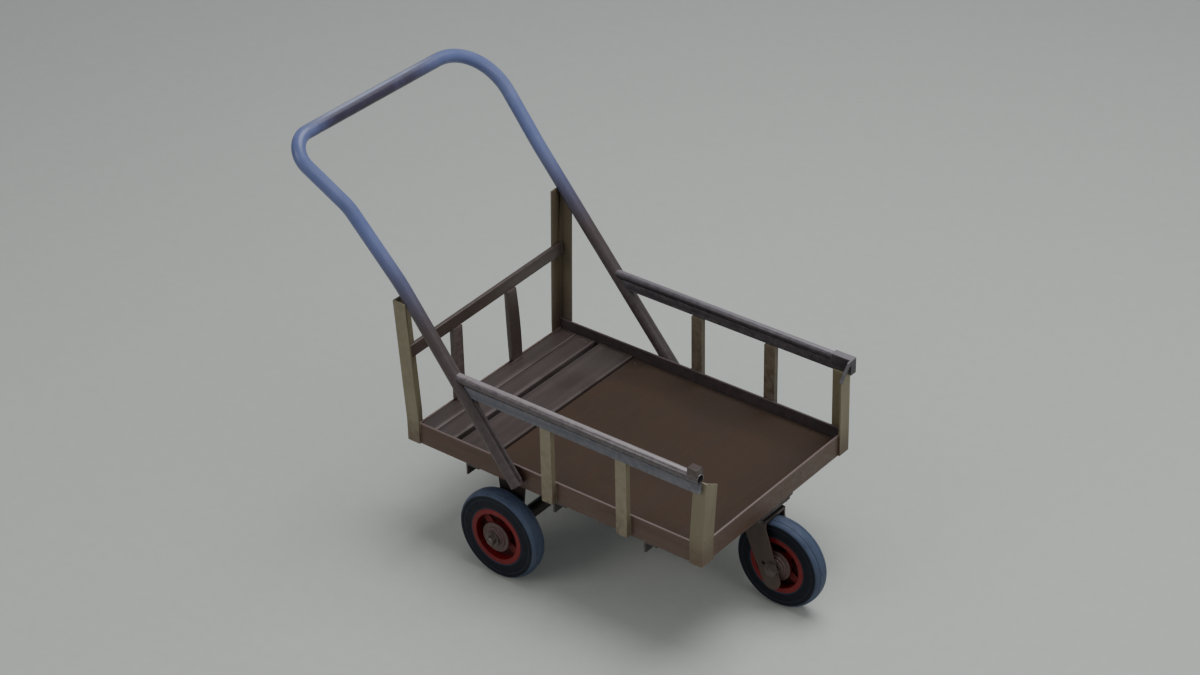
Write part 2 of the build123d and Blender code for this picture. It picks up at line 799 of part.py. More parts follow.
with BuildPart() as castor_plate:
    with BuildSketch(Plane.XY.offset(plate_bottom)):
        with Locations((castor_pivot_x, 0)):
            RectangleRounded(*castor_plate_size, 6.0)
            Circle(kingpin_radius, mode=Mode.SUBTRACT)
        with Locations(*castor_bolt_points):
            Circle(castor_bolt_radius + loose_hole, mode=Mode.SUBTRACT)
    extrude(amount=castor_plate_thickness)
keep("castor_top_plate", castor_plate.part)

with BuildPart() as castor_bolts:
    with BuildSketch(Plane.XY.offset(plate_bottom)):
        with Locations(*castor_bolt_points):
            RegularPolygon(8.0, 6, major_radius=False)
    extrude(amount=-castor_bolt_head)
    with BuildSketch(Plane.XY.offset(plate_bottom)):
        with Locations(*castor_bolt_points):
            Circle(castor_bolt_radius)
    extrude(amount=deck_floor - easy - plate_bottom)
keep("castor_bolts", castor_bolts.part)

upper_race_bottom = plate_bottom - race_thickness
crown_top = upper_race_bottom - race_gap - race_thickness
crown_bottom = crown_top - crown_thickness
swivel = (castor_pivot_x, 0)


def upright_ring(z_low, z_high, outer, inner):
    """Ring around the swivel axis."""
    with BuildPart() as disc:
        with BuildSketch(Plane.XY.offset(z_low)):
            with Locations(swivel):
                Circle(outer)
                Circle(inner, mode=Mode.SUBTRACT)
        extrude(amount=z_high - z_low)
    return disc.part


keep("swivel_race_upper", upright_ring(upper_race_bottom, plate_bottom, race_radius, kingpin_radius))
kingpin_bore = kingpin_radius + running
keep("swivel_race_lower", upright_ring(crown_top, crown_top + race_thickness, race_radius, kingpin_bore))
nut_top = crown_bottom - easy
with BuildPart() as kingpin:
    with BuildSketch(Plane.XY.offset(nut_top - kingpin_nut)):
        with Locations(swivel):
            Circle(kingpin_radius)
    extrude(amount=bearer_bottom - nut_top + kingpin_nut)
    with BuildSketch(Plane.XY.offset(nut_top - kingpin_nut)):
        with Locations(swivel):
            RegularPolygon(12.0, 6, major_radius=False)
    extrude(amount=kingpin_nut)
keep("kingpin", kingpin.part)

# ---------------------------------------------------------------- castor fork
with BuildPart() as crown:
    with BuildSketch(Plane.XY.offset(crown_bottom)):
        with Locations((castor_pivot_x + (crown_reach[1] - crown_reach[0]) / 2, 0)):
            Rectangle(sum(crown_reach), 2 * (leg_gap + leg_thickness))
        with Locations(swivel):
            Circle(kingpin_bore, mode=Mode.SUBTRACT)
    extrude(amount=crown_thickness)
    fillet(crown.edges().filter_by(Axis.Z).group_by(Axis.X)[0], 14.0)
keep("fork_crown", crown.part)

leg_rear = castor_pivot_x - crown_reach[0] + 1.0
leg_front = castor_pivot_x + crown_reach[1]
foot_x, foot_z = castor_axle_x + leg_foot[0], axle_z + leg_foot[1]
leg_rake = atan2(foot_x - (leg_rear + leg_front) / 2, crown_bottom - foot_z)


def fork_leg(side):
    """Raked flat leg hung from the crown's underside, rounded below the axle."""
    across_x, across_z = leg_width / 2 * cos(leg_rake), leg_width / 2 * sin(leg_rake)
    flip = 1 if side < 0 else -1
    outline = (
        (leg_rear, crown_bottom),
        (leg_front, crown_bottom),
        (leg_front, crown_bottom - leg_brow),
        (foot_x + across_x, foot_z + across_z),
        (foot_x - across_x, foot_z - across_z),
    )
    with BuildPart() as leg:
        with BuildSketch(Plane(origin=(0, side * leg_gap, 0), x_dir=(1, 0, 0), z_dir=(0, side, 0))):
            with BuildLine():
                Polyline(*[(x, flip * z) for x, z in outline], close=True)
            make_face()
            with Locations((foot_x, flip * foot_z)):
                Circle(leg_width / 2)
            with Locations((castor_axle_x, flip * axle_z)):
                Circle(axle_radius, mode=Mode.SUBTRACT)
            with Locations((castor_axle_x + leg_hole[0], flip * (axle_z + leg_hole[1]))):
                Circle(leg_hole_radius, mode=Mode.SUBTRACT)
        extrude(amount=leg_thickness)
    return leg.part


for side_name, side in SIDES.items():
    keep(f"fork_leg_{side_name}", fork_leg(side))

with BuildPart() as castor_axle:
    add(ring(castor_axle_x, axle_z, -50.0, 50.0, axle_radius))
    for side in SIDES.values():
        collar = sorted((side * (hub_length / 2 + easy), side * leg_gap))
        add(ring(castor_axle_x, axle_z, *collar, washer_radius))
keep("castor_axle", castor_axle.part)

with BuildPart() as castor_nuts:
    for side in SIDES.values():
        low, high = sorted((side * (leg_gap + leg_thickness), side * (leg_gap + leg_thickness + 9.0)))
        add(hex_nut(castor_axle_x, axle_z, low, high, 15.0, axle_radius))
keep("castor_axle_nuts", castor_nuts.part)

# ---------------------------------------------------------------- one origin for all, then write
boxes = [shape.bounding_box() for shape in finished.values()]
low_x, high_x = min(box.min.X for box in boxes), max(box.max.X for box in boxes)
low_y, high_y = min(box.min.Y for box in boxes), max(box.max.Y for box in boxes)
shift = Location((-(low_x + high_x) / 2, -(low_y + high_y) / 2, 0))
print("moved by", shift.position, "height", max(box.max.Z for box in boxes))
os.makedirs("parts", exist_ok=True)
for name, shape in finished.items():
    with BuildPart() as placed:
        with Locations(shift):
            add(shape)
    placed.part.label = name
    export_step(placed.part, f"parts/{name}.step")
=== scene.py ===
"""Three-wheeled platform hand cart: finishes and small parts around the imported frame."""
import json
from math import cos, pi, radians, sin

import bmesh
import bpy
from mathutils import Matrix, Vector


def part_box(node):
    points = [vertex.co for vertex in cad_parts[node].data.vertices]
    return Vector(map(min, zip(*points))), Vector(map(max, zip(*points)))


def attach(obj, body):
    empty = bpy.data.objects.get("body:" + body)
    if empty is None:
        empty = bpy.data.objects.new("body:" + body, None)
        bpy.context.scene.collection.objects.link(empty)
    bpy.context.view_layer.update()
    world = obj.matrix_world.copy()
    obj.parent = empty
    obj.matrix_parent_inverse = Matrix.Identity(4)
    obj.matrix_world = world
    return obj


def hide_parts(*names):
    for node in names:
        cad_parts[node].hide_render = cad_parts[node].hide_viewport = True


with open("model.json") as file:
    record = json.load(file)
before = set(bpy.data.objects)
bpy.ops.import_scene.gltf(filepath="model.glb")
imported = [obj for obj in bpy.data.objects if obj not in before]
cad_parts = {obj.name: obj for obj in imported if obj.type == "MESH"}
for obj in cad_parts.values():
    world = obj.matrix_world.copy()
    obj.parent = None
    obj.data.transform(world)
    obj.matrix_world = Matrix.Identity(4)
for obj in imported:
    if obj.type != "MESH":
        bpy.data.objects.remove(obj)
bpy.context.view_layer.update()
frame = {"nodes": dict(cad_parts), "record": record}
NODES = frame["nodes"]
SLOT_OF = {part["node"]: part["material_slot"] for part in frame["record"]["subparts"]}
SIDES = {"near": -1, "far": 1}
WHEELS = ("rear_wheel_near", "rear_wheel_far", "castor_wheel")


# ------------------------------------------------------------------ finish building blocks
class Finish:
    """A material under construction; every method returns a socket or a plain value."""

    def __init__(self, name):
        self.material = bpy.data.materials.new(name)
        self.material.use_nodes = True
        self.tree = self.material.node_tree
        self.tree.nodes.clear()
        self.surface = self.add("ShaderNodeBsdfPrincipled")
        output = self.add("ShaderNodeOutputMaterial")
        self.tree.links.new(self.surface.outputs[0], output.inputs[0])
        self.place = self.add("ShaderNodeTexCoord").outputs["Object"]

    def add(self, kind, **settings):
        node = self.tree.nodes.new(kind)
        for key, value in settings.items():
            setattr(node, key, value)
        return node

    def feed(self, socket, value):
        if isinstance(value, bpy.types.NodeSocket):
            self.tree.links.new(value, socket)
        elif isinstance(value, (tuple, list)) and len(value) == 3 and socket.type == "RGBA":
            socket.default_value = (*value, 1.0)
        else:
            socket.default_value = value

    def stretched(self, scale=(1, 1, 1), turn=(0, 0, 0), shift=(0, 0, 0)):
        node = self.add("ShaderNodeMapping")
        self.feed(node.inputs["Vector"], self.place)
        node.inputs["Scale"].default_value = scale
        node.inputs["Rotation"].default_value = turn
        node.inputs["Location"].default_value = shift
        return node.outputs[0]

    def noise(self, scale, detail=4.0, rough=0.55, where=None, warp=0.0):
        node = self.add("ShaderNodeTexNoise")
        self.feed(node.inputs["Vector"], where or self.place)
        node.inputs["Scale"].default_value = scale
        node.inputs["Detail"].default_value = detail
        node.inputs["Roughness"].default_value = rough
        node.inputs["Distortion"].default_value = warp
        return node.outputs["Fac"]

    def span(self, value, low, high, to_low=0.0, to_high=1.0):
        node = self.add("ShaderNodeMapRange", interpolation_type="SMOOTHSTEP")
        for socket, number in zip(node.inputs, (value, low, high, to_low, to_high)):
            self.feed(socket, number)
        return node.outputs[0]

    def level(self, axis, low, high):
        """0 below low and 1 above high along an axis of the cart, in metres."""
        node = self.add("ShaderNodeSeparateXYZ")
        self.feed(node.inputs[0], self.place)
        return self.span(node.outputs[axis], low, high)

    def away_from(self, middle_y):
        """Distance from a wheel's middle plane, in metres."""
        split = self.add("ShaderNodeSeparateXYZ")
        self.feed(split.inputs[0], self.place)
        offset = self.add("ShaderNodeMath", operation="SUBTRACT")
        self.feed(offset.inputs[0], split.outputs["Y"])
        offset.inputs[1].default_value = middle_y
        distance = self.add("ShaderNodeMath", operation="ABSOLUTE")
        self.feed(distance.inputs[0], offset.outputs[0])
        return distance.outputs[0]

    def maths(self, kind, a, b=0.0):
        node = self.add("ShaderNodeMath", operation=kind, use_clamp=kind != "SUBTRACT")
        self.feed(node.inputs[0], a)
        self.feed(node.inputs[1], b)
        return node.outputs[0]

    def mix(self, share, a, b):
        node = self.add("ShaderNodeMix", data_type="RGBA")
        self.feed(node.inputs["Factor"], share)
        self.feed(node.inputs[6], a)
        self.feed(node.inputs[7], b)
        return node.outputs[2]

    def edges(self, low=0.52, high=0.60):
        """1 on outside edges and corners."""
        return self.span(self.add("ShaderNodeNewGeometry").outputs["Pointiness"], low, high)

    def set(self, color, rough, metal=None, specular=None):
        pairs = {"Base Color": color, "Roughness": rough, "Metallic": metal, "Specular IOR Level": specular}
        for key, value in pairs.items():
            if value is not None:
                self.feed(self.surface.inputs[key], value)

    def bump(self, *layers):
        """Each layer is (height, strength, distance in metres)."""
        normal = None
        for height, strength, distance in layers:
            node = self.add("ShaderNodeBump")
            self.feed(node.inputs["Height"], height)
            node.inputs["Strength"].default_value = strength
            node.inputs["Distance"].default_value = distance
            if normal:
                self.feed(node.inputs["Normal"], normal)
            normal = node.outputs[0]
        self.feed(self.surface.inputs["Normal"], normal)


RUST = (0.085, 0.038, 0.020)


def painted(name, fresh, faded, worn, gloss=0.45, streak=(26, 26, 3), rusting=0.60, patchy=0.35,
            low=None, bands=(), shine=0.5, chips=0.7):
    """Old brushed-on paint: faintly streaked, rubbed at its edges, with a few rust specks.

    streak is the scale of the brush marks along each axis, rusting the level where rust starts,
    patchy its strength and chips the wear of the edges. low is (color, (z_low, z_high)) for paint
    that turns another color towards the ground, and each of bands is (color, strength, mask) with
    a mask that is built from this finish; some bands are painted highlights or painted shade.
    """
    paint = Finish(name)
    broad = paint.noise(4.0, 4.0, 0.55, warp=0.3)
    streaks = paint.noise(1.0, 6.0, 0.62, where=paint.stretched(streak))
    grit = paint.noise(260.0, 3.0, 0.7)
    color = paint.mix(paint.span(broad, 0.34, 0.68), fresh, faded)
    color = paint.mix(paint.span(streaks, 0.44, 0.72, 0.0, 0.38), color, tuple(c * 0.62 for c in fresh))
    if low:
        color = paint.mix(paint.level("Z", *low[1]), low[0], color)
    for tint, strength, mask in bands:
        broken = paint.span(streaks, 0.20, 0.55, 0.65, 1.0)
        share = paint.maths("MULTIPLY", paint.maths("MULTIPLY", mask(paint), broken), strength)
        color = paint.mix(share, color, tint)
    specks = paint.maths("MULTIPLY", paint.span(grit, 0.58, 0.70), paint.span(broad, 0.40, 0.60))
    color = paint.mix(paint.maths("MULTIPLY", specks, 0.30), color, RUST)
    patches = paint.span(paint.noise(30.0, 8.0, 0.70, warp=0.6), rusting, rusting + 0.10)
    color = paint.mix(paint.maths("MULTIPLY", patches, patchy), color, RUST)
    rubbed = paint.span(paint.noise(60.0, 6.0, 0.7), 0.36, 0.60, 0.25, 1.0)
    chipped = paint.maths("MULTIPLY", paint.edges(), rubbed)
    color = paint.mix(paint.maths("MULTIPLY", chipped, chips), color, worn)
    smear = paint.noise(1.0, 5.0, 0.6, where=paint.stretched(tuple(s * 1.7 for s in streak), shift=(3, 5, 1)))
    rough = paint.span(smear, 0.3, 0.75, gloss - 0.08, gloss + 0.12)
    rough = paint.maths("ADD", rough, paint.maths("MULTIPLY", patches, 0.2))
    paint.set(color=color, rough=rough, specular=shine)
    paint.bump((grit, 0.10, 0.0003), (patches, 0.20, 0.0003), (streaks, 0.12, 0.0004))
    return paint.material


GRAIN = (46, 2.2, 46)          # scale of the wood grain along each axis, long across the cart


def timber(name, light, dark, stain, figure=0.5, gloss=0.62, wear=None, specular=0.35):
    """Worn wood with its grain across the cart, scuffed and stained; figure is the grain's contrast."""
    wood = Finish(name)
    grain = wood.noise(1.0, 8.0, 0.66, where=wood.stretched(GRAIN), warp=0.5)
    finer = tuple(g * 1.9 for g in GRAIN)
    fibre = wood.noise(3.5, 6.0, 0.72, where=wood.stretched(finer, shift=(7, 2, 3)))
    blotch = wood.noise(4.0, 6.0, 0.60, warp=0.6)
    color = wood.mix(wood.span(grain, 0.34, 0.68, 0.5 - figure / 2, 0.5 + figure / 2), dark, light)
    color = wood.mix(wood.span(fibre, 0.50, 0.76, 0.0, 0.30 * figure), color, tuple(c * 1.7 for c in light))
    color = wood.mix(wood.span(blotch, 0.40, 0.66, 0.0, 0.55), color, stain)
    scratch = wood.noise(1.0, 3.0, 0.5, where=wood.stretched((210, 12, 210), turn=(0, 0, 0.75)))
    scratched = wood.span(scratch, 0.64, 0.72)
    color = wood.mix(wood.maths("MULTIPLY", scratched, 0.12), color, tuple(min(c * 2.2, 1) for c in light))
    if wear:
        rub = wood.maths("MULTIPLY", wood.edges(0.505, 0.56), wood.span(blotch, 0.3, 0.6))
        color = wood.mix(wood.maths("MULTIPLY", rub, 0.7), color, wear)
    wood.set(color=color, rough=wood.span(grain, 0.3, 0.7, gloss - 0.08, gloss + 0.12), specular=specular)
    wood.bump((grain, 0.30 * figure, 0.0008), (fibre, 0.20 * figure, 0.0004), (scratched, 0.15, 0.0003))
    return wood.material


def rubber(name, side, tread, wheel_y, half_width):
    """Tyre rubber: near-black side wall and a scuffed, paler running surface."""
    tyre = Finish(name)
    middle = tyre.span(tyre.away_from(wheel_y), half_width * 0.90, half_width * 0.975, 1.0, 0.0)
    scuffs = tyre.noise(1.0, 7.0, 0.7, where=tyre.stretched((28, 150, 28)), warp=0.4)
    dust = tyre.noise(9.0, 5.0, 0.6)
    color = tyre.mix(middle, side, tread)
    dulled = tyre.maths("MULTIPLY", tyre.span(scuffs, 0.46, 0.72, 0.0, 0.6), middle)
    color = tyre.mix(dulled, color, tuple(c * 0.45 for c in tread))
    grey = tyre.maths("MULTIPLY", tyre.span(dust, 0.5, 0.74), tyre.span(middle, 0.0, 1.0, 0.05, 0.35))
    color = tyre.mix(grey, color, (0.115, 0.125, 0.150))
    pits = tyre.noise(420.0, 2.0, 0.6)
    tyre.set(color=color, rough=tyre.span(scuffs, 0.3, 0.7, 0.50, 0.68), specular=0.25)
    tyre.bump((pits, 0.15, 0.0003), (scuffs, 0.20, 0.0005))
    return tyre.material


def bare_steel(name, bright, dull, gloss=0.42):
    """Turned or cut steel that has gone grey-brown."""
    steel = Finish(name)
    broad = steel.noise(40.0, 6.0, 0.65)
    grit = steel.noise(300.0, 3.0, 0.6)
    color = steel.mix(steel.span(broad, 0.38, 0.62), bright, dull)
    steel.set(color=color, rough=steel.span(broad, 0.3, 0.7, gloss - 0.08, gloss + 0.2), metal=0.6)
    steel.bump((grit, 0.25, 0.0003))
    return steel.material


# ------------------------------------------------------------------ places read from the frame
def corners(node_name):
    low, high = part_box(node_name)
    return Vector(low), Vector(high)


TRAY_LOW, TRAY_HIGH = corners("side_member_near")
TRAY_TOP = TRAY_HIGH.z
FAR_FACE = corners("side_member_far")[1].y         # outside of the far side member
TUBE_RADIUS = 0.01685
CROSSBAR_Z = corners("push_handle")[1].z - TUBE_RADIUS
MIDDLE_Y = (TRAY_LOW.y + FAR_FACE) / 2


def above(low, high):
    """Mask that grows with height between two levels."""
    return lambda finish: finish.level("Z", low, high)


def tray_rim(finish):
    return finish.level("Z", TRAY_TOP - 0.0035, TRAY_TOP - 0.0010)


def tube_top(node_name, share):
    """Mask for the upper part of a level tube."""
    low, high = corners(node_name)
    start = low.z + (high.z - low.z) * share
    return above(start, start + (high.z - low.z) * 0.16)


def on_crossbar(low, high):
    """Mask for the straight crossbar between two levels, clear of its bent ends."""
    def mask(finish):
        near_end = finish.level("Y", MIDDLE_Y - 0.33, MIDDLE_Y - 0.20)
        far_end = finish.level("Y", MIDDLE_Y + 0.02, MIDDLE_Y + 0.20)
        across = finish.maths("MULTIPLY", near_end, finish.maths("SUBTRACT", 1.0, far_end))
        upper = finish.level("Z", CROSSBAR_Z - 2 * TUBE_RADIUS, CROSSBAR_Z - TUBE_RADIUS)
        inside = finish.maths("MULTIPLY", across, upper)
        return finish.maths("MULTIPLY", inside, finish.level("Z", low, high))
    return mask


PINKISH = (0.170, 0.122, 0.112)        # worn edges of the brown paint
OLIVE = (0.186, 0.160, 0.094)
ALONG_RAIL = (3, 60, 60)               # brush marks along the side rails
CROSSBAR_SHADE = ((0.034, 0.023, 0.037), 0.92, on_crossbar(0.0, 0.01))
# painted highlight: a thin pale-blue band along the top of the crossbar
CROSSBAR_PAINTED_HIGHLIGHT = ((0.30, 0.31, 0.42), 0.8, on_crossbar(CROSSBAR_Z + 0.0145, CROSSBAR_Z + 0.0165))
# painted highlight: a pale band along the top of the far rail tube
FAR_TUBE_PAINTED_HIGHLIGHT = ((0.20, 0.175, 0.185), 0.75, tube_top("side_rail_tube_far", 0.84))
# worn pale paint along the top of the near rail tube, together with a painted highlight there
NEAR_TUBE_WEAR_AND_HIGHLIGHT = ((0.330, 0.275, 0.272), 0.85, tube_top("side_rail_tube_near", 0.88))

FINISHES = {
    "tray_paint": painted(
        "tray brown paint", (0.078, 0.041, 0.025), (0.088, 0.050, 0.034), PINKISH, gloss=0.46,
        streak=(5, 40, 60), patchy=0.22, bands=((PINKISH, 0.75, tray_rim),)),
    "post_paint": painted(
        "post olive paint", OLIVE, (0.158, 0.132, 0.080), (0.23, 0.20, 0.14), gloss=0.50, patchy=0.12,
        low=((0.100, 0.064, 0.038), (0.265, 0.350))),
    "brown_paint": painted(
        "rear brown paint", (0.052, 0.035, 0.028), (0.066, 0.046, 0.037), (0.15, 0.115, 0.105), gloss=0.42,
        streak=(40, 6, 40), patchy=0.25),
    "rail_paint": painted(
        "rail grey paint", (0.068, 0.073, 0.092), (0.086, 0.090, 0.110), (0.28, 0.25, 0.25), gloss=0.38,
        streak=ALONG_RAIL, rusting=0.66, patchy=0.15, shine=0.45),
    "handle_paint": painted(
        "handle blue paint", (0.098, 0.122, 0.262), (0.136, 0.158, 0.300), (0.24, 0.20, 0.22), gloss=0.36,
        streak=(14, 14, 4), rusting=0.66, patchy=0.10, shine=0.4, chips=0.12,
        low=((0.055, 0.040, 0.036), (0.58, 0.82)), bands=(CROSSBAR_SHADE, CROSSBAR_PAINTED_HIGHLIGHT)),
    "panel_wood": timber(
        "deck panel wood", (0.055, 0.033, 0.021), (0.044, 0.027, 0.018), (0.039, 0.026, 0.019),
        figure=0.45, gloss=0.74, specular=0.20),
    "board_wood": timber(
        "deck board wood", (0.062, 0.043, 0.036), (0.038, 0.026, 0.022), (0.042, 0.031, 0.028),
        figure=0.6, gloss=0.50, wear=(0.20, 0.16, 0.15)),
    "hub": painted(
        "hub dull paint", (0.080, 0.045, 0.040), (0.100, 0.060, 0.053), (0.16, 0.115, 0.105), gloss=0.42,
        rusting=0.56, chips=0.6),
    "bare_steel": bare_steel("dull steel", (0.16, 0.13, 0.12), (0.090, 0.065, 0.055)),
}

# finishes of parts whose color differs from the rest of their slot; the underside and far member ones are
# darker copies that paint in shade
# painted shade: parts under the deck, and their welds, are painted near-black for the shade beneath it
UNDER_SHADE_PAINT = painted(
    "underside painted shade", (0.024, 0.018, 0.016), (0.036, 0.027, 0.024), (0.10, 0.08, 0.07), gloss=0.5)
# painted shade: a darker copy of the tray paint on the far member's inner face, keeping its worn pinkish rim
SHADED_TRAY = painted(
    "far member shaded paint", (0.037, 0.029, 0.029), (0.047, 0.037, 0.036), PINKISH, gloss=0.55,
    streak=(3, 40, 30), patchy=0.04, shine=0.3, chips=0.2, bands=((PINKISH, 0.35, tray_rim),))
FAR_RAIL = painted(
    "far rail paint", (0.034, 0.028, 0.034), (0.050, 0.042, 0.049), (0.24, 0.21, 0.22), gloss=0.36,
    streak=ALONG_RAIL, patchy=0.3, bands=(FAR_TUBE_PAINTED_HIGHLIGHT,))
NEAR_TUBE = painted(
    "near tube paint", (0.044, 0.032, 0.035), (0.060, 0.045, 0.048), (0.34, 0.30, 0.30), gloss=0.30,
    streak=ALONG_RAIL, rusting=0.66, patchy=0.3, shine=0.6, bands=(NEAR_TUBE_WEAR_AND_HIGHLIGHT,))
FAR_POST = painted(
    "far post paint", (0.120, 0.094, 0.056), (0.094, 0.071, 0.044), (0.19, 0.155, 0.11), gloss=0.5,
    low=((0.066, 0.044, 0.031), (0.28, 0.44)), patchy=0.12)
FORK_PAINT = painted(
    "fork brown paint", (0.062, 0.042, 0.031), (0.078, 0.055, 0.042), (0.14, 0.105, 0.09), gloss=0.44,
    patchy=0.3)


def rim_paint(wheel_name):
    """Deep red on the ring and the spokes, with painted shade making the thin web between them nearly black.
    """
    low, high = corners(f"{wheel_name}_rim")
    middle, half = (low.y + high.y) / 2, (high.y - low.y) / 2

    def recess_shade(finish):
        return finish.span(finish.away_from(middle), half * 0.08, half * 0.24, 1.0, 0.0)

    return painted(
        f"{wheel_name} red paint", (0.140, 0.0050, 0.0065), (0.172, 0.0080, 0.0085), (0.19, 0.055, 0.050),
        gloss=0.42, patchy=0.5, chips=0.35, shine=0.35, bands=(((0.020, 0.0018, 0.0022), 0.9, recess_shade),))


def dress(obj, finish):
    obj.data.materials.clear()
    obj.data.materials.append(finish)


def soften(obj, width, segments):
    """Joins a CAD node's facets and rounds its sharp edges, without touching its own mesh."""
    weld = obj.modifiers.new("join facets", "WELD")
    weld.merge_threshold = 0.00002
    bevel = obj.modifiers.new("soft edges", "BEVEL")
    bevel.width = width
    bevel.segments = segments
    bevel.limit_method = "ANGLE"
    bevel.angle_limit = radians(38)
    bevel.harden_normals = False
    bevel.use_clamp_overlap = True


# by the start of the node's name
OWN_FINISH = {
    "axle_hanger": UNDER_SHADE_PAINT, "rear_axle_tube": UNDER_SHADE_PAINT, "cross_member": UNDER_SHADE_PAINT,
    "castor_bearer": UNDER_SHADE_PAINT, "castor_top_plate": UNDER_SHADE_PAINT, "side_member_far": SHADED_TRAY,
    "side_rail_tube_near": NEAR_TUBE, "side_rail_tube_far": FAR_RAIL, "side_rail_bar_far": FAR_RAIL,
    "corner_cap_far": FAR_RAIL, "corner_post_rear_far": FAR_POST, "side_upright_far": FAR_POST,
    "fork_crown": UNDER_SHADE_PAINT, "fork_leg": FORK_PAINT,
    **{f"{name}_rim": rim_paint(name) for name in WHEELS},
}
BOARD_ROUNDING = {"deck_board_1": 0.002, "deck_board_2": 0.008, "deck_board_3": 0.003}
EDGE_ROUNDING = 0.001
ROUND_SLOTS = ("handle_paint", "bare_steel")       # tubes and turned parts keep their edges
for node_name, node in NODES.items():
    slot_name = SLOT_OF[node_name]
    if slot_name == "tyre":
        continue
    own = [finish for start, finish in OWN_FINISH.items() if node_name.startswith(start)]
    dress(node, own[0] if own else FINISHES[slot_name])
    if slot_name not in ROUND_SLOTS:
        soften(node, BOARD_ROUNDING.get(node_name, EDGE_ROUNDING), 4 if node_name in BOARD_ROUNDING else 2)


# ------------------------------------------------------------------ mesh helpers
def mesh_object(name, build, finish, smooth=True):
    """A new piece at the origin whose mesh the build function fills in."""
    mesh = bpy.data.meshes.new(name)
    work = bmesh.new()
    build(work)
    bmesh.ops.recalc_face_normals(work, faces=work.faces)
    work.to_mesh(mesh)
    work.free()
    for polygon in mesh.polygons:
        polygon.use_smooth = smooth
    mesh.materials.append(finish)
    obj = bpy.data.objects.new(name, mesh)
    bpy.context.scene.collection.objects.link(obj)
    return obj


def turned(work, profile, centre, steps):
    """Spins a closed (radius, y) profile around the wheel axis through centre."""
    rings = []
    for i in range(steps):
        angle = 2 * pi * i / steps
        rings.append([
            work.verts.new((centre.x + r * cos(angle), centre.y + y, centre.z + r * sin(angle)))
            for r, y in profile
        ])
    count = len(profile)
    for i in range(steps):
        here, after = rings[i], rings[(i + 1) % steps]
        for j in range(count):
            k = (j + 1) % count
            work.faces.new((here[j], here[k], after[k], after[j]))


def sharp_by_angle(obj, degrees):
    """Flat shading across real edges, smooth across rounded ones."""
    limit = radians(degrees)
    work = bmesh.new()
    work.from_mesh(obj.data)
    for edge in work.edges:
        if len(edge.link_faces) == 2 and edge.calc_face_angle(0) > limit:
            edge.smooth = False
    work.to_mesh(obj.data)
    work.free()


# ------------------------------------------------------------------ tyres
def tyre_profile(half, crown, inner, seat):
    """Closed profile: rounded tread with worn ribs, stepped side wall, bead in the rim."""
    right = []
    shoulder = crown - 0.0075
    tread = (
        (0.0, 0.0), (0.22, 0.0003), (0.40, 0.0009), (0.43, 0.0021), (0.47, 0.0021), (0.50, 0.0013),
        (0.70, 0.0030), (0.86, 0.0053), (0.94, 0.0078),
    )
    for share, drop in tread:
        right.append((crown - drop, half * share))
    right += [
        (shoulder - 0.0035, half * 0.985), (shoulder - 0.0060, half),
        (shoulder - 0.0085, half * 0.992), (shoulder - 0.0100, half * 0.955),
        (shoulder - 0.0115, half * 0.950), (shoulder - 0.0130, half * 0.975),
        (shoulder - 0.0160, half * 0.985), (inner + 0.0140, half * 0.970),
        (inner + 0.0115, half * 0.955), (inner + 0.0108, half * 0.930),
        (inner + 0.0096, half * 0.930), (inner + 0.0096, seat), (inner, seat),
    ]
    left = [(r, -y) for r, y in reversed(right[1:])]
    return right + left


CHANNEL_RADIUS = 0.064         # bottom of the rim's channel
SEAT = 0.019                   # half of the width between the rim's flanges
SIDE_WALL, TREAD = (0.0042, 0.0058, 0.0105), (0.056, 0.072, 0.115)


def make_tyre(node_name):
    low, high = corners(node_name)
    centre = (low + high) / 2
    half, crown = (high.y - low.y) / 2, (high.z - low.z) / 2
    finish = rubber(f"{node_name} rubber", SIDE_WALL, TREAD, centre.y, half)
    profile = tyre_profile(half, crown, CHANNEL_RADIUS, SEAT)
    obj = mesh_object(f"{node_name}_rubber", lambda work: turned(work, profile, centre, 144), finish)
    sharp_by_angle(obj, 40)
    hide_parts(node_name)
    return obj


for wheel_name in WHEELS:
    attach(make_tyre(f"{wheel_name}_tyre"), wheel_name)


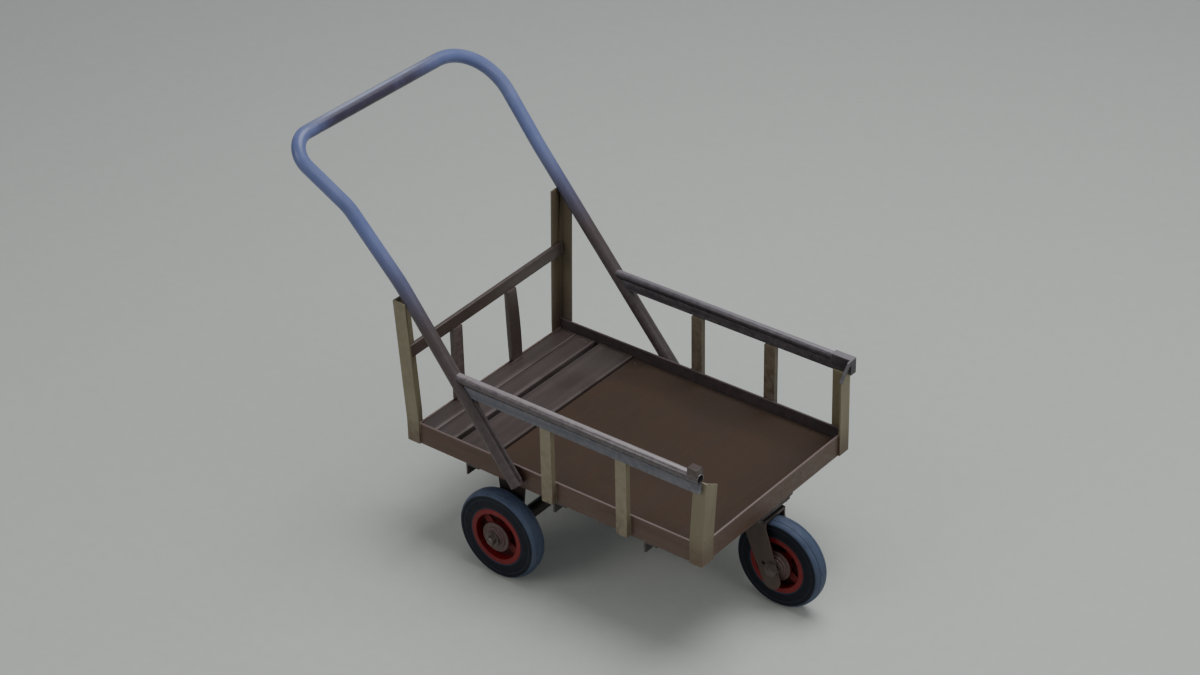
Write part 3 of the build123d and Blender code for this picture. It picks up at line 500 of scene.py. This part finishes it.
# ------------------------------------------------------------------ weld beads
def weld_tree():
    """Node tree that lays overlapping, slightly uneven beads along every edge of its mesh."""
    tree = bpy.data.node_groups.new("weld bead", "GeometryNodeTree")
    face = tree.interface
    face.new_socket("Geometry", in_out="INPUT", socket_type="NodeSocketGeometry")
    inputs = {"Spacing": "Float", "Bead Radius": "Float", "Seed": "Int", "Finish": "Material"}
    for socket_name, kind in inputs.items():
        face.new_socket(socket_name, in_out="INPUT", socket_type=f"NodeSocket{kind}")
    face.new_socket("Geometry", in_out="OUTPUT", socket_type="NodeSocketGeometry")
    add, link = tree.nodes.new, tree.links.new
    entry, leave = add("NodeGroupInput"), add("NodeGroupOutput")
    curve = add("GeometryNodeMeshToCurve")
    even = add("GeometryNodeResampleCurve")
    even.mode = "LENGTH"
    bead = add("GeometryNodeMeshUVSphere")
    bead.inputs["Segments"].default_value = 10
    bead.inputs["Rings"].default_value = 6
    tangent = add("GeometryNodeInputTangent")
    along = add("FunctionNodeAlignRotationToVector")
    along.axis = "X"
    uneven = add("FunctionNodeRandomValue")
    uneven.data_type = "FLOAT_VECTOR"
    uneven.inputs["Min"].default_value = (0.95, 0.75, 0.75)
    uneven.inputs["Max"].default_value = (1.35, 1.10, 1.10)
    place = add("GeometryNodeInstanceOnPoints")
    real = add("GeometryNodeRealizeInstances")
    smooth = add("GeometryNodeSetShadeSmooth")
    finish = add("GeometryNodeSetMaterial")
    link(entry.outputs["Geometry"], curve.inputs[0])
    link(curve.outputs[0], even.inputs["Curve"])
    link(entry.outputs["Spacing"], even.inputs["Length"])
    link(entry.outputs["Bead Radius"], bead.inputs["Radius"])
    link(entry.outputs["Seed"], uneven.inputs["Seed"])
    link(tangent.outputs[0], along.inputs["Vector"])
    link(even.outputs[0], place.inputs["Points"])
    link(bead.outputs["Mesh"], place.inputs["Instance"])
    link(along.outputs[0], place.inputs["Rotation"])
    link(uneven.outputs["Value"], place.inputs["Scale"])
    link(place.outputs[0], real.inputs[0])
    link(real.outputs[0], smooth.inputs[0])
    link(smooth.outputs[0], finish.inputs["Geometry"])
    link(entry.outputs["Finish"], finish.inputs["Material"])
    link(finish.outputs[0], leave.inputs[0])
    return tree


WELD_TREE = weld_tree()


def weld_beads(name, runs, body, finish, radius, seed):
    """One plain mesh of beads along the runs, each a list of points."""
    mesh = bpy.data.meshes.new(name)
    points, edges = [], []
    for run in runs:
        start = len(points)
        points += [tuple(point) for point in run]
        edges += [(i, i + 1) for i in range(start, len(points) - 1)]
    mesh.from_pydata(points, edges, [])
    obj = bpy.data.objects.new(name, mesh)
    bpy.context.scene.collection.objects.link(obj)
    modifier = obj.modifiers.new("beads", "NODES")
    modifier.node_group = WELD_TREE
    values = {"Spacing": radius * 1.15, "Bead Radius": radius, "Seed": seed, "Finish": finish}
    for item in WELD_TREE.interface.items_tree:
        if item.in_out == "INPUT" and item.name in values:
            modifier[item.identifier] = values[item.name]
    graph = bpy.context.evaluated_depsgraph_get()
    plain = bpy.data.meshes.new_from_object(obj.evaluated_get(graph))
    obj.modifiers.clear()
    obj.data = plain
    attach(obj, body)


def circle(x, y, z, radius, steps=40):
    """Points around a line that runs across the cart."""
    turns = [2 * pi * i / steps for i in range(steps + 1)]
    return [(x + radius * cos(a), y, z + radius * sin(a)) for a in turns]


END_GAP = 0.002                # a bead stops this far from the end of its joint
FACES = {"near": TRAY_LOW.y, "far": FAR_FACE}
POST_LEG = {                   # width of each corner post's side leg
    ("rear", "near"): 0.037, ("rear", "far"): 0.038,
    ("front", "near"): 0.035, ("front", "far"): 0.046,
}
STEEL = 0.005                  # thickness of the posts' angle
POST_EDGES = {
    (end, side): (TRAY_LOW.x - STEEL + leg if end == "rear" else TRAY_HIGH.x + STEEL - leg)
    for (end, side), leg in POST_LEG.items()
}


def upright_seams(side_name, outward):
    """Both edges of each upright against the side member, and its head under the rail."""
    seams = []
    for number in (1, 2):
        low, high = corners(f"side_upright_{side_name}_{number}")
        inner, outer = (low.y, high.y) if outward > 0 else (high.y, low.y)
        for x in (low.x - 0.0005, high.x + 0.0005):
            seams.append([(x, inner, low.z + 2 * END_GAP), (x, inner, TRAY_TOP - END_GAP)])
        seams.append([(low.x + END_GAP, outer, high.z), (high.x - END_GAP, outer, high.z)])
    return seams


def post_seams(side_name):
    """The free edge of each corner post's side leg against the side member."""
    seams = []
    face = FACES[side_name]
    for end_name in ("rear", "front"):
        low, _ = corners(f"corner_post_{end_name}_{side_name}")
        x = POST_EDGES[end_name, side_name]
        seams.append([(x, face, low.z + 0.003), (x, face, TRAY_TOP - END_GAP)])
    return seams


def under_seams(y):
    """Ends of the cross members against the underside of one side member."""
    seams = []
    for number in (1, 2, 3):
        low, high = corners(f"cross_member_{number}")
        seams.append([(low.x + END_GAP, y, high.z), (high.x - END_GAP, y, high.z)])
    return seams


def hanger_seams(side_name):
    """Both faces of an axle hanger, around the axle tube and under the side member."""
    low, high = corners(f"axle_hanger_{side_name}")
    tube_low, tube_high = corners("rear_axle_tube")
    middle = (tube_low + tube_high) / 2
    radius = (tube_high.z - tube_low.z) / 2 + 0.001
    seams = [circle(middle.x, y, middle.z, radius) for y in (low.y, high.y)]
    for y in (low.y, high.y):
        seams.append([(low.x + 2 * END_GAP, y, high.z), (high.x - 2 * END_GAP, y, high.z)])
    return seams


for seed, (side_name, outward) in enumerate(SIDES.items(), 1):
    upright_paint = FINISHES["post_paint"] if side_name == "near" else FAR_POST
    weld_beads(f"upright_welds_{side_name}", upright_seams(side_name, outward), "cart_frame",
               upright_paint, radius=0.0015, seed=seed)
    weld_beads(f"post_welds_{side_name}", post_seams(side_name), "cart_frame",
               FINISHES["post_paint"], radius=0.0015, seed=seed + 10)
    inset_face = FACES[side_name] - outward * 0.0012
    weld_beads(f"under_welds_{side_name}", under_seams(inset_face), "cart_frame",
               UNDER_SHADE_PAINT, radius=0.0018, seed=seed + 20)
    weld_beads(f"hanger_welds_{side_name}", hanger_seams(side_name), "cart_frame",
               UNDER_SHADE_PAINT, radius=0.0020, seed=seed + 30)


RAIL_DEPTH = 0.033             # the rear rail slopes, so its box is deeper than the bar


def rear_rail_seams():
    """The rear rail's ends against the posts, and the feet of the rear uprights."""
    low, high = corners("rear_rail")
    seams = []
    for y, bottom in ((low.y, low.z), (high.y, high.z - RAIL_DEPTH)):
        seams.append([(high.x, y, bottom + 0.003), (high.x, y, bottom + RAIL_DEPTH - 0.003)])
    for node_name in ("rear_upright_near", "rear_upright_far"):
        low, high = corners(node_name)
        foot = low.z + 0.001
        seams.append([(high.x, low.y + END_GAP, foot), (high.x, high.y - END_GAP, foot)])
    return seams


def fork_seams():
    """The inner face of each fork leg under the crown."""
    low, high = corners("fork_crown")
    seams = []
    for side_name, outward in SIDES.items():
        leg_low, leg_high = corners(f"fork_leg_{side_name}")
        inner = leg_low.y if outward > 0 else leg_high.y
        seams.append([(low.x + 0.016, inner, low.z), (high.x - END_GAP, inner, low.z)])
    return seams


weld_beads("rear_rail_welds", rear_rail_seams(), "cart_frame",
           FINISHES["brown_paint"], radius=0.0018, seed=41)
weld_beads("fork_welds", fork_seams(), "castor_fork",
           FORK_PAINT, radius=0.0018, seed=51)


# ------------------------------------------------------------------ stage, light and camera
HALF_FLOOR = 14.0


def stage_floor():
    floor = Finish("studio floor")
    speckle = floor.noise(30.0, 6.0, 0.6)
    floor.set(color=floor.mix(speckle, (0.45, 0.455, 0.41), (0.50, 0.505, 0.46)), rough=0.85, specular=0.2)

    def square(work):
        bmesh.ops.create_grid(work, x_segments=1, y_segments=1, size=HALF_FLOOR)

    mesh_object("floor", square, floor.material, smooth=False)


stage_floor()


def area_light(name, energy, size, place, target, color):
    data = bpy.data.lights.new(name, "AREA")
    data.energy = energy
    data.shape = "DISK"
    data.size = size
    data.color = color
    lamp = bpy.data.objects.new(name, data)
    lamp.location = place
    lamp.rotation_euler = (Vector(target) - Vector(place)).to_track_quat("-Z", "Y").to_euler()
    bpy.context.scene.collection.objects.link(lamp)


area_light("overhead", energy=175, size=3.6, place=(0.6, 1.0, 4.6), target=(0, 0, 0.3),
           color=(0.93, 0.96, 1.0))
area_light("near_fill", energy=50, size=3.0, place=(-1.6, -4.4, 2.6), target=(0, 0, 0.4),
           color=(1.0, 0.97, 0.93))
area_light("front_fill", energy=38, size=2.4, place=(4.6, -0.6, 2.2), target=(0, 0, 0.4),
           color=(0.95, 0.97, 1.0))

world = bpy.data.worlds.new("studio")
bpy.context.scene.world = world
world.use_nodes = True
sky = world.node_tree.nodes["Background"]
sky.inputs["Color"].default_value = (0.72, 0.78, 0.86, 1)
sky.inputs["Strength"].default_value = 0.42

CAMERA_PLACE = (3.5180, -4.4145, 4.0590)
YAW, ELEVATION, ROLL = radians(38.55), radians(31.97), radians(-1.21)
FOCAL_LENGTH, SENSOR_WIDTH = 86.4, 36.0


def add_camera():
    """Looks down at the cart from the near front, turned a little about its own axis."""
    back = Vector((sin(YAW) * cos(ELEVATION), -cos(YAW) * cos(ELEVATION), sin(ELEVATION)))
    level_right = Vector((cos(YAW), sin(YAW), 0))
    level_up = back.cross(level_right)
    right = level_right * cos(ROLL) + level_up * sin(ROLL)
    up = level_up * cos(ROLL) - level_right * sin(ROLL)
    data = bpy.data.cameras.new("camera")
    data.sensor_width = SENSOR_WIDTH
    data.lens = FOCAL_LENGTH
    camera = bpy.data.objects.new("camera", data)
    camera.matrix_world = Matrix.Translation(CAMERA_PLACE) @ Matrix((right, up, back)).transposed().to_4x4()
    bpy.context.scene.collection.objects.link(camera)
    bpy.context.scene.camera = camera


add_camera()
